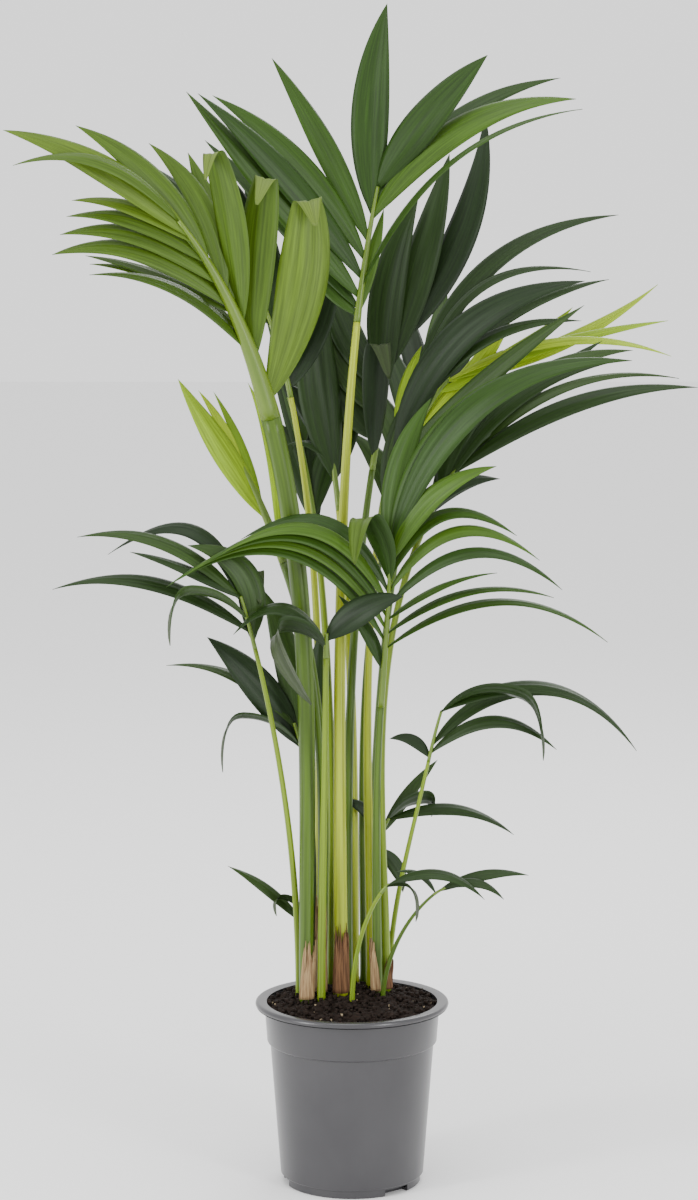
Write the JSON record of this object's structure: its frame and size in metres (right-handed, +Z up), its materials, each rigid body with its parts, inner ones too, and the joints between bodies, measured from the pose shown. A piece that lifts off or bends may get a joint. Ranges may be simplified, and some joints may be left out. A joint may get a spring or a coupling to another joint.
{
  "type": "potted palm",
  "caption": "Potted kentia palm: a clump of slim leaf stalks with feathery arching fronds, growing from dark soil in a plain tapered plastic nursery pot.",
  "frame": {"origin": "on the ground, in the middle of the pot's flat underside", "axes": "+Z up, the front that the picture shows at -Y, +X to the right of it"},
  "size_m": [0.6439, 0.5335, 1.1515],
  "materials": {
    "deep": "satin leaf, dark green",
    "mid": "satin leaf, mid green",
    "light": "satin leaf, light green",
    "lime": "satin leaf, yellow-green",
    "stem": "satin leaf stalk, yellow-green",
    "straw": "dry papery, tan",
    "husk": "dry papery, brown",
    "soil": "matte crumbs, near black",
    "pot": "smooth satin plastic, grey"
  },
  "bodies": {
    "root": {"pot": "pot", "soil": "soil", "stem_crown": "stem", "stem_fan": "stem", "stem_shade": "stem", "stem_behind": "stem", "stem_arch": "stem", "stem_spear": "stem", "stem_left": "stem", "stem_heart": "stem", "stem_spray": "stem", "stem_reach": "stem", "stem_glow": "stem", "stem_sweep": "stem", "stem_low_right": "stem", "stem_low_back": "stem", "stem_foot_right": "stem", "stem_foot_front": "stem", "stem_foot_left": "stem", "stem_low_left": "stem", "stem_back_left": "stem", "stem_back_right": "stem", "frond_crown": "mid", "frond_fan": "deep", "frond_shade": "deep", "frond_behind": "deep", "frond_arch": "light", "frond_spear": "lime", "frond_left": "deep", "frond_heart": "deep", "frond_spray": "mid", "frond_reach": "deep", "frond_glow": "lime", "frond_sweep": "deep", "frond_low_right": "deep", "frond_low_back": "deep", "frond_foot_right": "deep", "frond_foot_front": "deep", "frond_foot_left": "deep", "frond_low_left": "deep", "frond_back_left": "deep", "frond_back_right": "deep", "sheath_arch": "straw", "sheath_spear": "straw", "sheath_crown": "husk", "sheath_fan": "husk", "sheath_spray": "straw", "sheath_sweep": "husk"}
  },
  "joints": []
}
